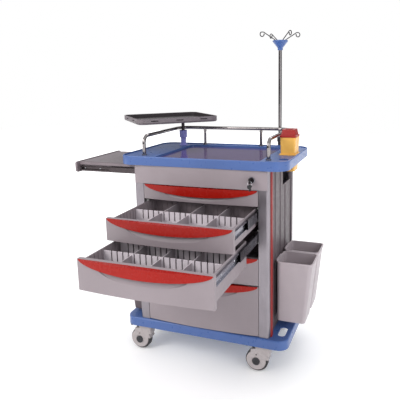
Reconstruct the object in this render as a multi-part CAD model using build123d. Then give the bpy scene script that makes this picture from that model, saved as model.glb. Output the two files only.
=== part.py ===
from build123d import *
import math
import os

# Hospital crash cart (emergency trolley).  Millimetres, +Z up, front of the cart towards -Y, floor at Z = 0.
# Everything is drawn around the middle of the body and moved by FRAME_SHIFT when it is written, so that
# the frame's origin ends up under the middle of the cart as it stands, drawers and shelf partly out.

# ---------------------------------------------------------------- driving dimensions
BODY_HALF_W = 308.0         # outer faces of the corner columns
BODY_HALF_D = 225.0
COLUMN = 46.0               # corner column section, square
COLUMN_RADIUS = 14.0
COLUMN_WALL = 2.5
BUMPER_PROUD = 5.0          # how far the soft strips stand out of the columns
BASE_BOTTOM = 126.0
BASE_TOP = 168.0
BOARD_BOTTOM = 891.0
BOARD_TOP = 930.0
SKIN = 4.0                  # wall of the big mouldings
RIB_PITCH = (BODY_HALF_D - COLUMN) / 2       # broad upright flutes of the side panels
RIB_HALF = 26.0

BASE_HALF_W = 383.0
BASE_HALF_D = 234.0
BOARD_LEFT = -377.0
BOARD_RIGHT = 381.0
BOARD_HALF_D = 240.0
WORKTOP = (-214.0, 262.0, -214.0, 200.0)     # x0, x1, y0, y1 of the sunk work surface
WORKTOP_DEPTH = 10.0

FASCIA_BOTTOM = 807.0
DRAWER_GAP = 6.0
DRAWER_HEIGHTS = (66.0, 89.0, 117.0, 117.0, 222.0)     # fronts, from the top drawer down
DRAWER_PULLS = (0.0, 305.0, 495.0, 0.0, 0.0)           # how far each one stands open
DRAWER_TRAVEL = 520.0       # over-extending slides: each pair of members still overlaps by 158
FRONT_HALF_W = 260.0
FRONT_BULGE = 12.0          # the fronts bow outwards in plan
FRONT_THICK = 18.0
BOX_HALF_W = 246.5
BOX_DEPTH = 360.0
BOX_WALL = 3.0
HANDLE_HALF_W = 257.0
HANDLE_DROP = 40.0
HANDLE_REACH = 11.0
HANDLE_WALL = 3.5
COMB_PITCH = 24.3           # moulded pads inside the drawers, with a divider slot between two pads
COMB_PAD_HALF_W = 9.0
COMB_PAD = 2.0

SLIDE_LENGTH = 418.0
SLIDE_START = -205.0        # front end of the fixed members, behind the closed fronts
SLIDE_HEIGHT = 44.0
SLIDE_DROP = 33.0           # slide centre line below the top of its drawer front
SLIDE_SHEET = 1.5
SLIDE_MOUTH = 262.0         # inner faces of the columns, where the outer members are screwed

SHELF_OUT = 324.0
SHELF_TRAVEL = 335.0
SHELF_TOP = 880.0
SHELF_HALF_D = 160.0
SHELF_LENGTH = 380.0
SHELF_THICK = 12.0
SHELF_CAP_HALF_D = 192.0
SHELF_CAP_HEIGHT = 50.0
SHELF_SLIDE_LENGTH = 350.0
SHELF_SLIDE_HEIGHT = 30.0

RAIL_TUBE = 8.0             # radius of the guard rail tube
RAIL_HEIGHT = 1010.0
RAIL_LEFT = -278.0
RAIL_RIGHT = 291.0
RAIL_FRONT = -175.0
RAIL_REAR = 222.0
RAIL_POSTS = (-147.0, 147.0)

POST_AT = (-250.0, 180.0)   # monitor post
POST_TOP = 1001.0
TRAY_BOTTOM = 1051.0
TRAY_SIZE = (394.0, 366.0)
TRAY_CENTRE = (-309.0, 146.0)
TRAY_TURN = 42.0
TRAY_RIM = 26.0
SPINDLE_R = 8.0

POLE_AT = (232.0, 258.0)
POLE_R = 8.0
POLE_BOTTOM = 564.3
POLE_TOP = 1380.0
SLEEVE_BOTTOM = 560.0
SLEEVE_TOP = 972.0
HOOK_REACH = 95.0           # from the pole's axis to the middle of a hook's loop
HOOK_RISE = 48.0
HOOK_LOOP = 10.0            # radius of the loop's centre line
HOOK_WIRE = 2.2
HOOK_TURN = 42.0

SHARPS = (302.5, 370.0, -32.0, 54.0)         # x0, x1, y0, y1 of the sharps container
SHARPS_BOTTOM = 855.0
SHARPS_SHOULDER = 1001.0
SHARPS_LID_TOP = 1034.0
CUP_HOLE = (346.0, -140.0, 20.0)             # x, y, radius

BIN_TOP = 486.0
BIN_BOTTOM = 216.0
BIN_BACK = 317.0
BIN_TOP_REACH = 152.0
BIN_BOTTOM_REACH = 122.0
BIN_HALF_Y = 73.0
BIN_CENTRES = (-76.0, 76.0)

WHEEL_R = 50.0
WHEEL_HALF_W = 15.0
TRAIL = 38.0
STEM_R = 6.0
STEMS = {"fl": (-287.0, -196.0), "fr": (284.0, -196.0), "rl": (-287.0, 190.0), "rr": (284.0, 190.0)}

LOCK_AT = (237.0, 852.0)    # x, z on the fascia

RUN_FIT = 0.05              # radial clearance of shafts in their holes


# ---------------------------------------------------------------- small helpers
def block(x0, x1, y0, y1, z0, z1):
    """A box between two corners."""
    return Pos((x0 + x1) / 2, (y0 + y1) / 2, (z0 + z1) / 2) * Box(x1 - x0, y1 - y0, z1 - z0)


def rounded_slab(x0, x1, y0, y1, z0, z1, radius):
    """An upright slab with rounded vertical corners."""
    outline = Pos((x0 + x1) / 2, (y0 + y1) / 2) * RectangleRounded(x1 - x0, y1 - y0, radius)
    return Pos(0, 0, z0) * extrude(outline, z1 - z0)


def rod_z(x, y, z0, z1, radius):
    return Pos(x, y, (z0 + z1) / 2) * Cylinder(radius, z1 - z0)


def rod_y(x, z, y0, y1, radius):
    return Pos(x, (y0 + y1) / 2, z) * Rot(90, 0, 0) * Cylinder(radius, y1 - y0)


def rod_x(y, z, x0, x1, radius):
    return Pos((x0 + x1) / 2, y, z) * Rot(0, 90, 0) * Cylinder(radius, x1 - x0)


def mirrored_x(shape):
    return mirror(shape, Plane.YZ)


def tube_along(points, radii, radius):
    """A round bar along straight runs joined by arcs."""
    path = FilletPolyline(*points, radius=radii)
    section = Plane(origin=path @ 0, z_dir=path % 0) * Circle(radius)
    return sweep(section, path)


# ---------------------------------------------------------------- base and body
def base_tray():
    """The bumper-shaped base moulding: a skin with a deep skirt, and a slot in its right-hand end."""
    outer = rounded_slab(-BASE_HALF_W, BASE_HALF_W, -BASE_HALF_D, BASE_HALF_D, BASE_BOTTOM, BASE_TOP, 45)
    outer = fillet(outer.faces().sort_by(Axis.Z)[-1].edges(), 7)
    inner = rounded_slab(-BASE_HALF_W + SKIN, BASE_HALF_W - SKIN, -BASE_HALF_D + SKIN, BASE_HALF_D - SKIN,
                         BASE_BOTTOM - 1, BASE_TOP - SKIN - 1, 41)
    tray = outer - inner
    return tray - rounded_slab(331, 363, -186, -104, BASE_BOTTOM - 1, BASE_TOP + 1, 14)


def base_frame():
    """Welded steel frame inside the base, with the four caster stems."""
    low, high = BASE_BOTTOM + 4, BASE_TOP - SKIN - 1.5
    frame = block(-320, 318, -211, -181, low, high) + block(-320, 318, 175, 205, low, high)
    for x in (-302.0, 0.0, 299.0):
        frame += block(x - 15, x + 15, -211, 205, low, high)
    for x, y in STEMS.values():
        frame += rod_z(x, y, BASE_BOTTOM - 2, high, 19)
        frame += rod_z(x, y, BASE_BOTTOM - 21, high, STEM_R)
    return frame


def column_profile():
    """One column at the front right: a hollow extrusion with a rounded outer corner and a side groove."""
    x1, y0 = BODY_HALF_W, -BODY_HALF_D
    x0, y1 = x1 - COLUMN, y0 + COLUMN
    outline = Pos((x0 + x1) / 2, (y0 + y1) / 2) * Rectangle(COLUMN, COLUMN)
    corner = outline.vertices().sort_by(Axis.X)[-2:].sort_by(Axis.Y)[0]
    outline = fillet(corner, COLUMN_RADIUS)
    hollow = offset(outline, -COLUMN_WALL)
    groove = Pos(x1 - 2, y0 + 30) * Rectangle(4, 26)
    lining = Pos(x1 - 3.25, y0 + 30) * Rectangle(6.5, 31)
    return outline - hollow + (lining & outline) - groove


def corner_columns():
    column = Pos(0, 0, BASE_TOP) * extrude(column_profile(), BOARD_BOTTOM - BASE_TOP)
    right = [column, mirror(column, Plane.XZ)]
    return Compound(right + [mirrored_x(c) for c in right])


def column_inserts():
    """Soft strips pressed into the groove of each column: thick bumpers in front, flush ones behind."""
    x = BODY_HALF_W - 4
    y = -BODY_HALF_D + 30
    strips = []
    for side, proud in ((1, BUMPER_PROUD), (-1, 1.0)):
        near, far = sorted((side * (y - 13), side * (y + 13)))
        strip = block(x, BODY_HALF_W + proud, near, far, BASE_TOP + 1, BOARD_BOTTOM - 1)
        strips.append(fillet(strip.edges().filter_by(Axis.Z).sort_by(Axis.X)[-2:], 0.9 * proud))
    return Compound(strips + [mirrored_x(s) for s in strips])


def ribbed_panel(window):
    """Right-hand side panel: a sheet between two columns, stiffened by upright ribs, with one window."""
    half = BODY_HALF_D - COLUMN
    sheet = block(BODY_HALF_W - 9, BODY_HALF_W - 5, -half, half, BASE_TOP, BOARD_BOTTOM)
    for y in (-RIB_PITCH, 0.0, RIB_PITCH):
        low, high = BASE_TOP + 10, BOARD_BOTTOM - 12
        rib = block(BODY_HALF_W - 5.5, BODY_HALF_W - 2, y - RIB_HALF, y + RIB_HALF, low, high)
        sheet += chamfer(rib.faces().sort_by(Axis.X)[-1].edges(), 2)
    y0, y1, z0, z1 = window
    frame = block(BODY_HALF_W - 9, BODY_HALF_W - 2, max(y0 - 6, -half), min(y1 + 6, half), z0 - 6,
                  min(z1 + 6, BOARD_BOTTOM))
    return sheet + frame - block(BODY_HALF_W - 20, BODY_HALF_W + 5, y0, y1, z0, z1)


def side_panel_right():
    return ribbed_panel((12.0, 152.0, 785.0, 872.0))


def side_panel_left():
    """The same sheet with a wide window for the shelf, and a storage pocket moulded on low down."""
    panel = mirrored_x(ribbed_panel((-177.5, 177.5, 824.0, BOARD_BOTTOM + 1)))
    back, low, high = -BODY_HALF_W + 2, 182.0, 420.0
    bottom = Plane.XY.offset(low) * Pos(back - 32, -56) * RectangleRounded(64, 236, 8)
    top = Plane.XY.offset(high) * Pos(back - 46, -56) * RectangleRounded(92, 244, 8)
    pocket = loft([bottom, top])
    bottom_in = Plane.XY.offset(low + SKIN) * Pos(back - 32, -56) * RectangleRounded(64 - 2 * SKIN, 228, 5)
    top_in = Plane.XY.offset(high + 1) * Pos(back - 46, -56) * RectangleRounded(92 - 2 * SKIN, 236, 5)
    return panel + pocket - loft([bottom_in, top_in])


def rear_panel():
    """Pressed sheet closing the back between the rear columns."""
    half = BODY_HALF_W - COLUMN
    sheet = block(-half, half, BODY_HALF_D - 8, BODY_HALF_D - 5, BASE_TOP, BOARD_BOTTOM)
    for z in (260.0, 500.0, 740.0):
        sheet += block(-half + 30, half - 30, BODY_HALF_D - 5, BODY_HALF_D - 2, z - 90, z + 90)
    return sheet


def bowed_outline(half_w, back, front, bulge):
    """Plan of a front panel: straight at the back, bowed outwards at the front."""
    rim = Polyline((-half_w, front), (-half_w, back), (half_w, back), (half_w, front))
    bow = ThreePointArc((-half_w, front), (0, front - bulge), (half_w, front))
    return make_face(rim.edges() + bow.edges())


def front_fascia():
    """Fixed front strip above the drawers, over the faces of the columns, bored for the lock."""
    plate = Pos(0, 0, FASCIA_BOTTOM + 3) * extrude(
        bowed_outline(BODY_HALF_W - 8, -BODY_HALF_D - 0.2, -BODY_HALF_D - 4, 9),
        BOARD_BOTTOM - FASCIA_BOTTOM - 3)
    half = BODY_HALF_W - COLUMN - 0.5
    inner = block(-half, half, -BODY_HALF_D - 0.2, -BODY_HALF_D + 14, FASCIA_BOTTOM + 3, BOARD_BOTTOM)
    hollow = block(-half + 4, half - 4, -BODY_HALF_D + 2, -BODY_HALF_D + 15, FASCIA_BOTTOM + 7,
                   BOARD_BOTTOM - 4)
    x, z = LOCK_AT
    return plate + inner - hollow - rod_y(x, z, -BODY_HALF_D - 20, -BODY_HALF_D + 20, 9 + RUN_FIT)


def top_board():
    """Worktop moulding: a rounded skirt, a raised lip, a sunk work surface and two holes on the right."""
    lip = 5.0
    outer = rounded_slab(BOARD_LEFT, BOARD_RIGHT, -BOARD_HALF_D, BOARD_HALF_D, BOARD_BOTTOM, BOARD_TOP, 62)
    outer = fillet(outer.faces().sort_by(Axis.Z)[-1].edges(), 4)
    plain = rounded_slab(BOARD_LEFT + 6, BOARD_RIGHT - 6, -BOARD_HALF_D + 6, BOARD_HALF_D - 6,
                         BOARD_TOP - lip, BOARD_TOP + 1, 56)
    x0, x1, y0, y1 = WORKTOP
    floor = BOARD_TOP - lip - WORKTOP_DEPTH
    sunk = rounded_slab(x0, x1, y0, y1, floor, BOARD_TOP + 1, 30)
    under = rounded_slab(BOARD_LEFT + SKIN, BOARD_RIGHT - SKIN, -BOARD_HALF_D + SKIN, BOARD_HALF_D - SKIN,
                         BOARD_BOTTOM - 1, floor - SKIN, 58)
    board = outer - plain - sunk - under
    for x in (-200.0, -80.0, 40.0, 160.0, 300.0):
        board += block(x - 2, x + 2, -BOARD_HALF_D + SKIN, BOARD_HALF_D - SKIN, BOARD_BOTTOM + 0.5, floor - 3)
    x0, x1, y0, y1 = SHARPS
    board += block(x0 - 5.5, x1 + 8, y0 - 6, y1 + 6, BOARD_BOTTOM, BOARD_TOP - lip)
    board -= block(x0 - 2, x1 + 2, y0 - 2, y1 + 2, BOARD_BOTTOM - 1, BOARD_TOP + 1)
    x, y, r = CUP_HOLE
    board += rod_z(x, y, BOARD_BOTTOM, BOARD_TOP - lip, r + 4)
    board -= rod_z(x, y, BOARD_BOTTOM - 1, BOARD_TOP + 1, r)
    board += rod_z(POST_AT[0], POST_AT[1], BOARD_BOTTOM + 1, BOARD_TOP - lip, 24)
    board -= rod_z(POST_AT[0], POST_AT[1], BOARD_BOTTOM + 10, BOARD_TOP + 1, 12)
    for x, y in rail_feet():
        board += rod_z(x, y, BOARD_BOTTOM + 1, BOARD_TOP - lip, RAIL_TUBE + 6)
        board -= rod_z(x, y, BOARD_TOP - lip - 15, BOARD_TOP + 1, RAIL_TUBE + 0.05)
    return board


def rail_feet():
    """Where the guard rail's two ends and its two posts stand."""
    feet = [(RAIL_LEFT, RAIL_FRONT), (RAIL_RIGHT, RAIL_FRONT)]
    return feet + [(x, RAIL_REAR) for x in RAIL_POSTS]


def guard_rail():
    """Bent steel tube round three sides, with two posts welded under its rear run."""
    foot = BOARD_TOP - 5 - 15
    points = [(RAIL_LEFT, RAIL_FRONT, foot), (RAIL_LEFT, RAIL_FRONT, RAIL_HEIGHT),
              (RAIL_LEFT, RAIL_REAR, RAIL_HEIGHT), (RAIL_RIGHT, RAIL_REAR, RAIL_HEIGHT),
              (RAIL_RIGHT, RAIL_FRONT, RAIL_HEIGHT), (RAIL_RIGHT, RAIL_FRONT, foot)]
    rail = tube_along(points, [34, 55, 55, 34], RAIL_TUBE)
    for x in RAIL_POSTS:
        rail += rod_z(x, RAIL_REAR, foot, RAIL_HEIGHT, RAIL_TUBE - 1)
    for x, y in rail_feet():
        rail += rod_z(x, y, BOARD_TOP - 5, BOARD_TOP - 1, RAIL_TUBE + 3.5)
    return rail


# ---------------------------------------------------------------- slides, drawn for the +X side
def channel(x_web, x_lips, z, height, y0, y1):
    """A thin C-channel whose web stands at x_web and whose flanges reach to x_lips."""
    step = SLIDE_SHEET if x_lips > x_web else -SLIDE_SHEET
    low, high = min(x_web, x_lips), max(x_web, x_lips)
    shape = block(low, high, y0, y1, z - height / 2, z + height / 2)
    inside = sorted((x_web + step, x_lips + step))
    return shape - block(inside[0], inside[1], y0 - 1, y1 + 1,
                         z - height / 2 + SLIDE_SHEET, z + height / 2 - SLIDE_SHEET)


def drawer_tops():
    """Z of the top edge of every drawer front."""
    tops, top = [], FASCIA_BOTTOM
    for height in DRAWER_HEIGHTS:
        tops.append(top)
        top -= height + DRAWER_GAP
    return tops


def slide_z(index):
    return drawer_tops()[index] - SLIDE_DROP


def outer_member(z):
    return channel(SLIDE_MOUTH, SLIDE_MOUTH - 13, z, SLIDE_HEIGHT, SLIDE_START, SLIDE_START + SLIDE_LENGTH)


def mid_member(z, pull):
    start = SLIDE_START + 1 - pull / 2
    return channel(SLIDE_MOUTH - 2.6, SLIDE_MOUTH - 12, z, SLIDE_HEIGHT - 6, start, start + SLIDE_LENGTH)


def inner_member(z, pull):
    start = SLIDE_START + 2 - pull
    return channel(BOX_HALF_W, BOX_HALF_W + 9, z, SLIDE_HEIGHT - 13, start, start + SLIDE_LENGTH)


def pair(shape):
    return Compound([shape, mirrored_x(shape)])


def slide_outer_rails():
    """Fixed members of all the telescopic slides: five drawer pairs and the long pair of the shelf."""
    rails = []
    for index in range(len(DRAWER_HEIGHTS)):
        rail = outer_member(slide_z(index))
        rails += [rail, mirrored_x(rail)]
    shelf = shelf_channel(SHELF_HALF_D + 19, SHELF_HALF_D + 6.5, SHELF_SLIDE_HEIGHT, -298, 298)
    rails += [shelf, mirror(shelf, Plane.XZ)]
    return Compound(rails)


def drawer_inner_rails(index):
    return pair(inner_member(slide_z(index), DRAWER_PULLS[index]))


def drawer_mid_rails(index):
    return pair(mid_member(slide_z(index), DRAWER_PULLS[index]))


# ---------------------------------------------------------------- drawers
def half_ellipse(half_w, drop, top):
    """The region under a straight top edge, down to half an ellipse, in the XZ plane."""
    full = Pos(0, top) * Ellipse(half_w, drop)
    return full & (Pos(0, top - drop) * Rectangle(2 * half_w + 2, 2 * drop))


def across_y(sketch, y0, y1):
    """Push a sketch drawn as (x, z) from y0 to y1."""
    return extrude(Plane.XZ.offset(-y0) * sketch, -(y1 - y0))


def drawer_box(index):
    """Drawer moulding: bowed front with a finger scoop, thin-walled box with comb ribs inside."""
    height, pull, top = DRAWER_HEIGHTS[index], DRAWER_PULLS[index], drawer_tops()[index]
    low = top - height
    front = -BODY_HALF_D - pull
    back = front + FRONT_THICK
    face = Pos(0, 0, low) * extrude(bowed_outline(FRONT_HALF_W, back, front, FRONT_BULGE), height)
    scoop_drop = min(66.0, height - 10)
    scoop = across_y(half_ellipse(190, scoop_drop, top - HANDLE_WALL), front - FRONT_BULGE - 2, front + 8)
    lean = math.degrees(math.atan((FRONT_BULGE + 8) / scoop_drop))
    scoop -= Pos(0, front - FRONT_BULGE, top - scoop_drop) * Rot(-lean, 0, 0) * block(
        -200, 200, 0, 80, -80, 3 * scoop_drop)
    seat = across_y(half_ellipse(HANDLE_HALF_W + 0.2, HANDLE_DROP + 0.2, top), front - FRONT_BULGE - 2, front)
    face = face - scoop - seat
    box_low, box_high = low + 8, top - 6
    x, y1 = BOX_HALF_W, back + BOX_DEPTH
    box = block(-x, x, back - 1, y1, box_low, box_high)
    box -= block(-x + BOX_WALL, x - BOX_WALL, back, y1 - BOX_WALL, box_low + BOX_WALL, box_high + 1)
    return face + box + comb_pads(back, y1 - BOX_WALL, box_low + 1, box_high - 3)


def comb_places(low, high):
    """Middles of a row of pads, spread evenly between two walls."""
    count = int((high - low) / COMB_PITCH)
    start = (low + high) / 2 - (count - 1) / 2 * COMB_PITCH
    return [start + COMB_PITCH * i for i in range(count)]


def comb_pads(y0, y1, low, high):
    """Flat pads on the four inner walls of a drawer, which hold dividers in the gaps between them."""
    x = BOX_HALF_W - BOX_WALL
    pads = []
    for place in comb_places(-x + 5, x - 5):
        left, right = place - COMB_PAD_HALF_W, place + COMB_PAD_HALF_W
        pads.append(block(left, right, y0 - 0.5, y0 + COMB_PAD, low, high))
        pads.append(block(left, right, y1 - COMB_PAD, y1 + 0.5, low, high))
    for place in comb_places(y0 + 5, y1 - 5):
        near, far = place - COMB_PAD_HALF_W, place + COMB_PAD_HALF_W
        pads.append(block(-x - 0.5, -x + COMB_PAD, near, far, low, high))
        pads.append(block(x - COMB_PAD, x + 0.5, near, far, low, high))
    return pads


def drawer_handle(index):
    """Translucent grip strip across the top of the front: a visor that fingers reach up behind."""
    pull, top = DRAWER_PULLS[index], drawer_tops()[index]
    front = -BODY_HALF_D - pull
    crescent = across_y(half_ellipse(HANDLE_HALF_W, HANDLE_DROP, top), front - 40, front + 20)
    reach = FRONT_BULGE + HANDLE_REACH
    bow = bowed_outline(HANDLE_HALF_W + 1, front - 0.2, front - 0.5, reach)
    outer = Pos(0, 0, top - 60) * extrude(bow, 60)
    inner = Pos(0, 0, top - 60 - HANDLE_WALL) * extrude(
        bowed_outline(HANDLE_HALF_W - 24, front + 5, front - 0.4, reach - HANDLE_WALL), 60)
    visor = crescent & outer
    return visor - (across_y(half_ellipse(HANDLE_HALF_W - 22, 60, top - HANDLE_WALL), front - 40, front + 5)
                    & inner)


def divider_grid(index, rows, columns):
    """Loose divider strips slotted together, standing on the drawer's floor."""
    height, pull, top = DRAWER_HEIGHTS[index], DRAWER_PULLS[index], drawer_tops()[index]
    low, high = top - height + 8 + BOX_WALL + 0.2, top - 14
    y0 = -BODY_HALF_D - pull + FRONT_THICK + COMB_PAD + 0.5
    y1 = y0 + BOX_DEPTH - BOX_WALL - 2 * COMB_PAD - 1
    x = BOX_HALF_W - BOX_WALL - COMB_PAD - 0.5
    notch_low = low + 0.4 * (high - low)
    crosses = [-x + 2 * x * i / columns for i in range(1, columns)]
    strips = []
    for i in range(1, rows):
        y = y0 + (y1 - y0) * i / rows
        strip = block(-x, x, y - 2, y + 2, low, high)
        for place in comb_places(-x, x - COMB_PITCH):
            notch = place + COMB_PITCH / 2
            if min(abs(notch - c) for c in crosses) > 6:
                strip -= block(notch - 2.5, notch + 2.5, y - 3, y + 3, notch_low, high + 1)
        strips.append(strip)
    for cross_x in crosses:
        strips.append(block(cross_x - 1.2, cross_x + 1.2, y0, y1, low, high - 6))
    grid = strips[0]
    for strip in strips[1:]:
        grid += strip
    return grid


# ---------------------------------------------------------------- pull-out side shelf, towards -X
def shelf_channel(y_web, y_lips, height, x0, x1):
    """The same C-channel turned along X, at the front (-Y) side of the shelf."""
    z = SHELF_TOP - SHELF_THICK - 18
    y0, y1 = sorted((-y_web, -y_lips))
    shape = block(x0, x1, y0, y1, z - height / 2, z + height / 2)
    step = SLIDE_SHEET if y_web > y_lips else -SLIDE_SHEET
    y0, y1 = sorted((-y_web + step, -y_lips + step))
    return shape - block(x0 - 1, x1 + 1, y0, y1, z - height / 2 + SLIDE_SHEET, z + height / 2 - SLIDE_SHEET)


def side_shelf_board():
    """Sliding writing shelf with side cheeks for its slides and a deep end cap."""
    start = -BODY_HALF_W + 1 - SHELF_OUT
    low = SHELF_TOP - SHELF_THICK
    plate = block(start, start + SHELF_LENGTH, -SHELF_HALF_D - 13, SHELF_HALF_D + 13, low, SHELF_TOP)
    for side in (-1, 1):
        y = sorted((side * SHELF_HALF_D, side * (SHELF_HALF_D - 4)))
        plate += block(start, start + SHELF_LENGTH, y[0], y[1], low - 34, low)
    cap = block(start - 12, start, -SHELF_CAP_HALF_D, SHELF_CAP_HALF_D, SHELF_TOP + 3 - SHELF_CAP_HEIGHT,
                SHELF_TOP + 3)
    cap = fillet(cap.edges().filter_by(Axis.X), 10)
    cap = fillet(cap.faces().sort_by(Axis.X)[0].edges(), 3)
    return plate + cap


def side_shelf_inner_rails():
    x0 = -BODY_HALF_W + 3 - SHELF_OUT
    rail = shelf_channel(SHELF_HALF_D, SHELF_HALF_D + 13, SHELF_SLIDE_HEIGHT - 14, x0,
                         x0 + SHELF_SLIDE_LENGTH)
    return Compound([rail, mirror(rail, Plane.XZ)])


def side_shelf_mid_rails():
    x0 = -BODY_HALF_W + 3 - SHELF_OUT / 2
    rail = shelf_channel(SHELF_HALF_D + 16, SHELF_HALF_D + 7, SHELF_SLIDE_HEIGHT - 7, x0,
                         x0 + SHELF_SLIDE_LENGTH)
    return Compound([rail, mirror(rail, Plane.XZ)])


# ---------------------------------------------------------------- monitor tray on its post
def monitor_post():
    """Collar that stands in the board's socket and guides the spindle."""
    x, y = POST_AT
    socket = rod_z(x, y, BOARD_BOTTOM + 10.2, BOARD_TOP - 5, 11.9)
    foot = rod_z(x, y, BOARD_TOP - 5, BOARD_TOP - 1, 21)
    neck_top = POST_TOP - 36
    neck = Pos(x, y, (BOARD_TOP - 5 + neck_top) / 2) * Cone(12, 14, neck_top - BOARD_TOP + 5)
    collar = rod_z(x, y, neck_top - 1, POST_TOP, 19.5)
    collar = fillet(collar.edges().filter_by(GeomType.CIRCLE), 3)
    return socket + foot + neck + collar - rod_z(x, y, BOARD_BOTTOM + 14, POST_TOP + 1, SPINDLE_R + RUN_FIT)


def monitor_spindle():
    x, y = POST_AT
    return rod_z(x, y, BOARD_BOTTOM + 15, TRAY_BOTTOM - 4, SPINDLE_R) + rod_z(
        x, y, TRAY_BOTTOM - 6, TRAY_BOTTOM, 34)


def monitor_tray():
    """Rimmed equipment tray, turned on its spindle, with a flat raised deck for the instrument."""
    width, depth = TRAY_SIZE
    shell = extrude(RectangleRounded(width, depth, 36), TRAY_RIM)
    shell = fillet(shell.faces().sort_by(Axis.Z)[0].edges(), 6)
    shell -= Pos(0, 0, 4) * extrude(RectangleRounded(width - 2 * SKIN, depth - 2 * SKIN, 32), TRAY_RIM)
    shell += Pos(0, 0, 4) * extrude(RectangleRounded(width - 50, depth - 50, 14), 2.5)
    slots = []
    for x in (-120.0, 0.0, 120.0):
        slots.append(block(x - 17, x + 17, -depth, depth, 13, 18))
    for y in (-70.0, 70.0):
        slots.append(block(-width, width, y - 17, y + 17, 13, 18))
    for slot in slots:
        shell -= slot
    return Pos(TRAY_CENTRE[0], TRAY_CENTRE[1], TRAY_BOTTOM) * Rot(0, 0, TRAY_TURN) * shell


# ---------------------------------------------------------------- infusion pole
def iv_sleeve():
    """Fixed outer tube behind the body, held by two blocks on the rear panel, with a boss for the knob."""
    x, y = POLE_AT
    sleeve = rod_z(x, y, SLEEVE_BOTTOM, SLEEVE_TOP, 11)
    for z in (610.0, 850.0):
        sleeve += rounded_slab(x - 20, x + 20, BODY_HALF_D - 1.8, y + 15, z - 18, z + 18, 4)
    sleeve += rod_z(x, y, SLEEVE_TOP - 26, SLEEVE_TOP, 14)
    sleeve += rod_x(y, SLEEVE_TOP - 13, x + 5, x + 22, 9)
    sleeve -= rod_z(x, y, SLEEVE_BOTTOM + 4, SLEEVE_TOP + 1, POLE_R + RUN_FIT)
    return sleeve - rod_x(y, SLEEVE_TOP - 13, x + POLE_R + 1, x + 30, 4 + RUN_FIT)


def iv_clamp_knob():
    x, y = POLE_AT
    z = SLEEVE_TOP - 13
    knob = rod_x(y, z, x + POLE_R + 1.5, x + 26, 4) + rod_x(y, z, x + 23, x + 43, 11)
    for i in range(5):
        angle = math.radians(72 * i + 90)
        knob += rod_x(y + 12 * math.cos(angle), z + 12 * math.sin(angle), x + 23.5, x + 42.5, 6)
    return knob


def iv_pole():
    x, y = POLE_AT
    pole = rod_z(x, y, POLE_BOTTOM, POLE_TOP, POLE_R)
    return pole + rod_z(x, y, POLE_TOP - 1, POLE_TOP + 20, 5)


def iv_head():
    """Moulded crown that turns on the pole and carries four hooks."""
    x, y = POLE_AT
    neck = rod_z(x, y, POLE_TOP + 0.3, POLE_TOP + 10, 12)
    cone = Pos(x, y, POLE_TOP + 10 + 15) * Cone(12, 36, 30)
    crown = rod_z(x, y, POLE_TOP + 40, POLE_TOP + 46, 36)
    crown = fillet(crown.edges().sort_by(Axis.Z)[-1], 4)
    head = neck + cone + crown - rod_z(x, y, POLE_TOP - 1, POLE_TOP + 21, 5 + RUN_FIT)
    for i in range(4):
        start, end = hook_points(i)[:2]
        hole = Plane(origin=start, z_dir=Vector(*end) - Vector(*start)) * Circle(HOOK_WIRE)
        head -= extrude(hole, 60)
    return head


def hook_points(index):
    """Centre line of one hook: out of the crown's top, up the arm, over and round its loop."""
    x, y = POLE_AT
    angle = math.radians(HOOK_TURN + 90 * index)
    z0 = POLE_TOP + 24

    def at(reach, rise):
        return (x + reach * math.cos(angle), y + reach * math.sin(angle), z0 + rise)

    near, far = HOOK_REACH - HOOK_LOOP, HOOK_REACH + HOOK_LOOP
    low, high = HOOK_RISE - HOOK_LOOP, HOOK_RISE + HOOK_LOOP
    tip = HOOK_RISE + 0.5
    return [at(8, 12), at(near + 3, high), at(far, high), at(far, low), at(near, low), at(near, tip)]


def iv_hooks():
    """Four bent wire hooks, each an open loop at the end of a rising arm."""
    hooks = []
    for i in range(4):
        hooks.append(tube_along(hook_points(i), [11] + [HOOK_LOOP - 0.5] * 3, HOOK_WIRE))
    return Compound(hooks)


# ---------------------------------------------------------------- sharps container
def tapered_box(x0, x1, y0, y1, z0, z1, taper, radius):
    low = Plane.XY.offset(z0) * Pos((x0 + x1) / 2, (y0 + y1) / 2) * RectangleRounded(
        x1 - x0 - 2 * taper, y1 - y0 - 2 * taper, radius)
    high = Plane.XY.offset(z1) * Pos((x0 + x1) / 2, (y0 + y1) / 2) * RectangleRounded(
        x1 - x0, y1 - y0, radius)
    return loft([low, high])


def sharps_container():
    """Disposable box that drops through the board and hangs by a collar under its shoulder."""
    x0, x1, y0, y1 = SHARPS
    body = tapered_box(x0, x1, y0, y1, SHARPS_BOTTOM, SHARPS_SHOULDER, 5, 7)
    body += rounded_slab(x0 - 4, x1 + 4, y0 - 4, y1 + 4, BOARD_TOP - 4.8, BOARD_TOP - 1, 7)
    body -= tapered_box(x0 + 2, x1 - 2, y0 + 2, y1 - 2, SHARPS_BOTTOM + 2, SHARPS_SHOULDER + 1, 5, 5)
    knuckle = rod_x(y1 + 4, SHARPS_SHOULDER - 3, x0 + 24, x1 - 24, 3.5)
    knuckle += block(x0 + 24, x1 - 24, y1 - 1, y1 + 4, SHARPS_SHOULDER - 6.4, SHARPS_SHOULDER - 1)
    return body + knuckle - rod_x(y1 + 4, SHARPS_SHOULDER - 3, x0 + 20, x1 - 20, 1.5)


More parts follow.
